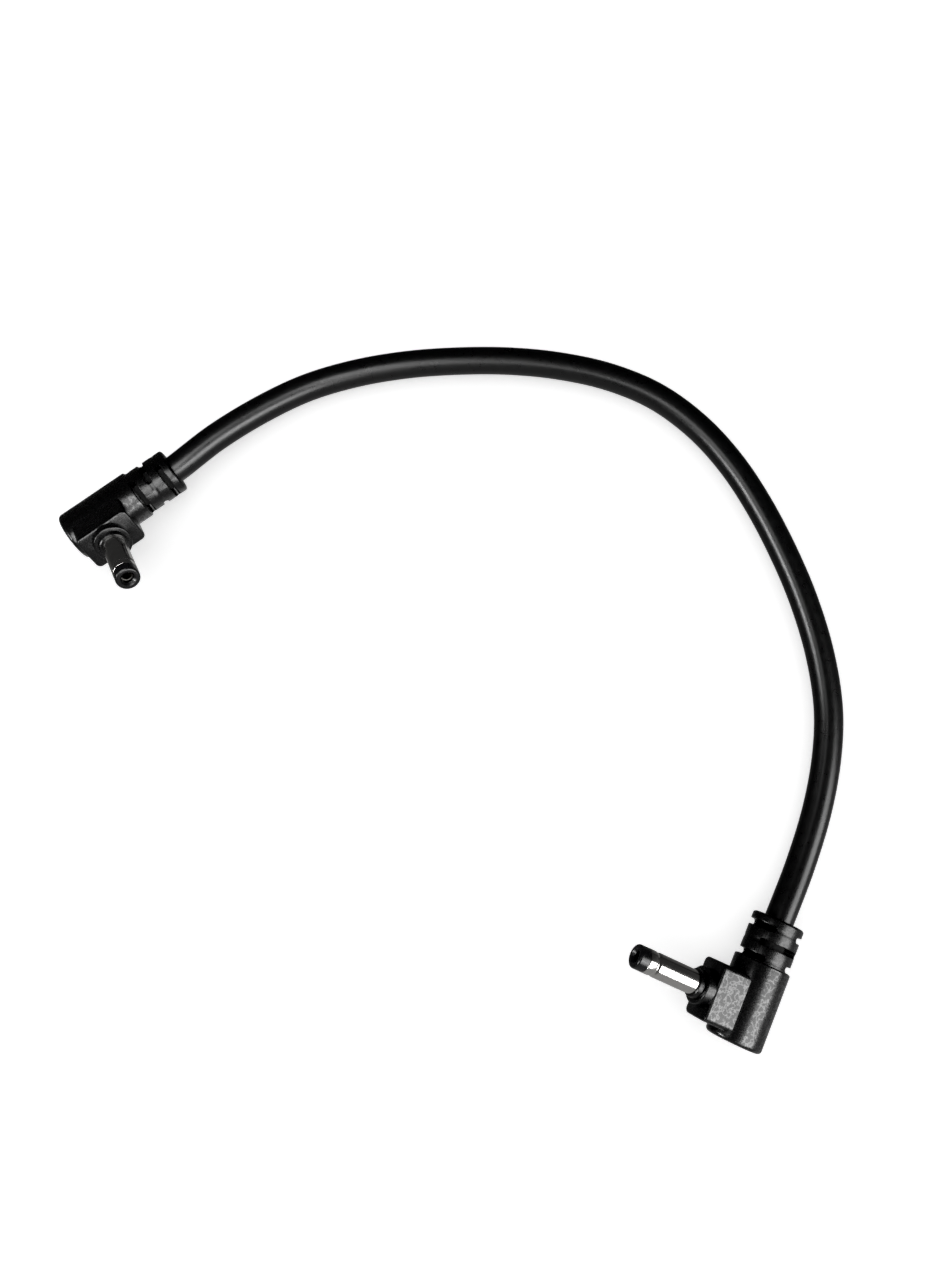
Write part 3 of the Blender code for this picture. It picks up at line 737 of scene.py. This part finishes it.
# A light's values are what it points at, the way to it from there, how far off it is, its width and height,
# its glow, how many degrees its beam spreads over, and whether it shows in the gloss.
LOOK_AT = Vector((0.0078, 0.01647, 0.0))
LEFT_BARREL = Vector((-0.045, 0.029, 0.0))
LIGHTS = {
    "right_window": (LOOK_AT, (0.72, -0.39, 0.575), 0.45, 0.24, 0.29, 6.7, 180, True),
    "front_window": (LOOK_AT, (0.40, -0.61, 0.68), 0.45, 0.18, 0.20, 5.8, 180, True),
    "left_lamp": (LOOK_AT, (-0.78, -0.27, 0.55), 0.45, 0.16, 0.12, 17.0, 180, True),
    "low_lamp": (PLUG_A.translation, (0.05, -0.23, 0.97), 0.12, 0.09, 0.09, 1.55, 90, True),
    "table_glow": (LEFT_BARREL, (0.0, 0.0, -1.0), -0.0003, 0.022, 0.022, 0.3, 180, True),
    "ceiling": (LOOK_AT, (-0.16, 0.18, 1.0), 0.8, 1.6, 1.6, 0.85, 180, False),
}
for name, (aim, way, distance, wide, high, glow, fan, mirrored) in LIGHTS.items():
    lamp = bpy.data.lights.new(name, "AREA")
    lamp.shape = "RECTANGLE"
    lamp.size = wide
    lamp.size_y = high
    lamp.spread = math.radians(fan)
    lamp.energy = glow * math.pi * wide * high
    holder = bpy.data.objects.new(name, lamp)
    holder.location = aim + Vector(way).normalized() * distance
    holder.rotation_euler = (-Vector(way)).to_track_quat("-Z", "Y").to_euler()
    holder.visible_camera = False
    holder.visible_glossy = mirrored
    holder.visible_diffuse = not mirrored
    bpy.context.scene.collection.objects.link(holder)
ROOM = [(0.20, 0.30), (0.36, 0.12), (0.64, 0.03)]
DARK_WAY = (-0.25, 0.75, 0.45)
world = bpy.data.worlds.new("room")
world.use_nodes = True
wire = Wire(world.node_tree)
facing = wire.node("ShaderNodeTexCoord", {}, {})
towards_dark = wire.node("ShaderNodeVectorMath", {"operation": "DOT_PRODUCT"}, {0: facing, 1: DARK_WAY}, 1)
shade = wire.node("ShaderNodeValToRGB", {"stops": ROOM}, {0: 0.5 + 0.5 * towards_dark})
feed(shade, world.node_tree.nodes["Background"], "Color")
bpy.context.scene.world = world

PHOTO_HEIGHT = 1267
FOCAL_PIXELS = 1050
SENSOR = 36.0
CAMERA_PLACE = (0.0078, -0.00566, 0.1595)
lens = bpy.data.cameras.new("camera")
lens.sensor_width = SENSOR
lens.lens = FOCAL_PIXELS / PHOTO_HEIGHT * SENSOR
lens.clip_start = 0.005
camera = bpy.data.objects.new("camera", lens)
camera.location = CAMERA_PLACE
camera.rotation_euler = (LOOK_AT - camera.location).to_track_quat("-Z", "Y").to_euler()
bpy.context.scene.collection.objects.link(camera)
bpy.context.scene.camera = camera
BLACK_POINT = 0.003
display = bpy.context.scene.view_settings
display.view_transform = "Standard"
display.use_curve_mapping = True
display.curve_mapping.black_level = (BLACK_POINT,) * 3
display.curve_mapping.update()

low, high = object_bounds()
